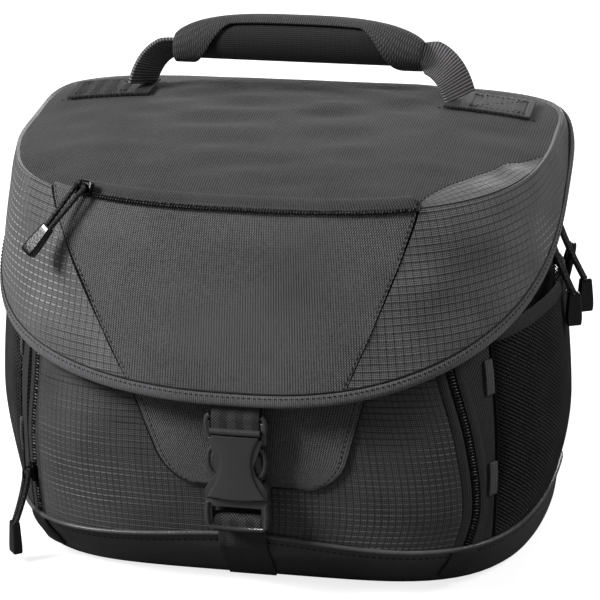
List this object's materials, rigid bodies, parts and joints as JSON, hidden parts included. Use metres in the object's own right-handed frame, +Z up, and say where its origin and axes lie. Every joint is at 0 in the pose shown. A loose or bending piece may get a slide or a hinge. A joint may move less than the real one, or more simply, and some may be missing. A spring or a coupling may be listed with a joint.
{
  "type": "camera bag",
  "caption": "Soft shoulder bag for a camera with a padded divided well, front pocket, drop flap lid, side-release buckle, net side pockets and a carrying handle.",
  "frame": {"origin": "on the floor, under the middle of the bag between its two sides", "axes": "+Z up, front towards -Y, +X to the right for someone who looks at the front"},
  "size_m": [0.3149, 0.2088, 0.2681],
  "materials": {
    "twill": "matte twill",
    "ripstop": "satin ripstop",
    "side_fabric": "matte",
    "coated": "satin coated",
    "piping": "satin",
    "webbing": "ribbed",
    "grey_webbing": "ribbed",
    "zip_tape": "matte",
    "net": "open net",
    "knit": "knit",
    "foam": "open cell",
    "board": "matte",
    "lining": "brushed",
    "buckle": "semi-gloss",
    "slider": "gloss",
    "pull_tip": "semi-gloss",
    "cord": "braided"
  },
  "bodies": {
    "bag_body": {"base_tray": "coated", "base_piping": "piping", "base_board": "board", "base_foam": "foam", "foam_front": "foam", "foam_back": "foam", "foam_sides": "foam", "lining": "lining", "front_wall": "twill", "front_panel": "ripstop", "front_patch": "twill", "pocket_top": "twill", "front_zip": "zip_tape", "gusset_left": "webbing", "gusset_right": "webbing", "gusset_tabs": "grey_webbing", "side_panel_left": "side_fabric", "side_panel_right": "side_fabric", "back_panel": "twill", "side_pocket_left": "net", "side_pocket_right": "net", "pocket_hems": "grey_webbing", "ring_webbing": "grey_webbing", "main_zip": "zip_tape", "zip_end_tab": "coated", "closure_strap": "webbing"},
    "lid": {"lid_top": "twill", "lid_lining": "lining", "flap_center": "twill", "flap_wing_left": "ripstop", "flap_wing_right": "ripstop", "hinge_band": "twill", "flap_binding": "webbing", "lid_zip": "zip_tape", "handle_tabs": "webbing", "buckle_tab": "webbing", "buckle_socket": "buckle"},
    "handle": {"handle_grip": "knit", "handle_webbing": "webbing"},
    "plug": {"buckle_plug": "buckle", "plug_webbing": "webbing"},
    "prong_l": {"prong_left": "buckle"},
    "prong_r": {"prong_right": "buckle"},
    "ring_l": {"strap_ring_left": "buckle"},
    "ring_r": {"strap_ring_right": "buckle"},
    "divider_l": {"divider_left": "lining"},
    "divider_r": {"divider_right": "lining"},
    "lid_slider": {"lid_zip_slider": "slider"},
    "lid_pull": {"lid_pull_cord": "cord", "lid_pull_tip": "pull_tip"},
    "front_slider": {"front_zip_slider": "slider"},
    "front_pull": {"front_pull_cord": "cord", "front_pull_tip": "pull_tip"},
    "main_slider_f": {"main_slider_front": "slider"},
    "main_pull_f": {"main_cord_front": "cord", "main_tip_front": "pull_tip"},
    "main_slider_r": {"main_slider_rear": "slider"},
    "main_pull_r": {"main_cord_rear": "cord", "main_tip_rear": "pull_tip"}
  },
  "joints": [
    {"name": "lid_hinge", "type": "hinge", "parent": "bag_body", "child": "lid", "pos_m": [0, 0.1023, 0.2151], "axis": [-1, 0, 0], "range_deg": [0, 110]},
    {"name": "handle_fold", "type": "hinge", "parent": "lid", "child": "handle", "pos_m": [0, 0.058, 0.24165], "axis": [1, 0, 0], "range_deg": [-60, 60]},
    {"name": "lid_zip_run", "type": "hinge", "parent": "lid", "child": "lid_slider", "pos_m": [0, 0.205, 0.23823], "axis": [0, -0.105, 0.9945], "range_deg": [0, 32.5]},
    {"name": "lid_pull_swing", "type": "hinge", "parent": "lid_slider", "child": "lid_pull", "pos_m": [-0.08279, -0.07589, 0.21138], "axis": [-0.714, 0.5671, 0.4106], "range_deg": [0, 60]},
    {"name": "front_zip_run", "type": "hinge", "parent": "bag_body", "child": "front_slider", "pos_m": [0.04981, 0.07636, 0.06695], "axis": [-0.6369, 0.7709, 0], "range_deg": [0, 13]},
    {"name": "front_pull_swing", "type": "hinge", "parent": "front_slider", "child": "front_pull", "pos_m": [-0.122, -0.06559, 0.049], "axis": [-0.6369, 0.7709, 0], "range_deg": [0, 60]},
    {"name": "main_zip_run_front", "type": "slide", "parent": "bag_body", "child": "main_slider_f", "axis": [0.0931, 0.9957, 0], "range_m": [-0.008, 0.004]},
    {"name": "main_pull_swing_front", "type": "hinge", "parent": "main_slider_f", "child": "main_pull_f", "pos_m": [0.13845, 0.00905, 0.186], "axis": [-0.0931, -0.9957, 0], "range_deg": [0, 10]},
    {"name": "main_zip_run_rear", "type": "slide", "parent": "bag_body", "child": "main_slider_r", "axis": [0.0322, 0.9995, 0], "range_m": [-0.004, 0.015]},
    {"name": "main_pull_swing_rear", "type": "hinge", "parent": "main_slider_r", "child": "main_pull_r", "pos_m": [0.13994, 0.03165, 0.186], "axis": [-0.0322, -0.9995, 0], "range_deg": [0, 10]},
    {"name": "buckle_release", "type": "slide", "parent": "bag_body", "child": "plug", "axis": [0, 0, -1], "range_m": [0, 0.03]},
    {"name": "prong_press_left", "type": "hinge", "parent": "plug", "child": "prong_l", "pos_m": [-0.0095, -0.0973, 0.0593], "axis": [0, 1, 0], "range_deg": [0, 7], "stiffness_Nm_per_rad": 0.05},
    {"name": "prong_press_right", "type": "hinge", "parent": "plug", "child": "prong_r", "pos_m": [0.0095, -0.0973, 0.0593], "axis": [0, -1, 0], "range_deg": [0, 7], "stiffness_Nm_per_rad": 0.05},
    {"name": "ring_swing_right", "type": "hinge", "parent": "bag_body", "child": "ring_r", "pos_m": [0.14183, 0.06581, 0.12633], "axis": [-0.1116, 0.9937, 0], "range_deg": [-8, 100]},
    {"name": "ring_swing_left", "type": "hinge", "parent": "bag_body", "child": "ring_l", "pos_m": [-0.14183, 0.06581, 0.12633], "axis": [-0.1116, -0.9937, 0], "range_deg": [-8, 100]},
    {"name": "divider_shift_left", "type": "slide", "parent": "bag_body", "child": "divider_l", "axis": [1, 0, 0], "range_m": [-0.025, 0.025]},
    {"name": "divider_shift_right", "type": "slide", "parent": "bag_body", "child": "divider_r", "axis": [1, 0, 0], "range_m": [-0.025, 0.025]}
  ],
  "couplings": [
    {"joint": "prong_press_right", "follows": "prong_press_left", "ratio": 1}
  ]
}
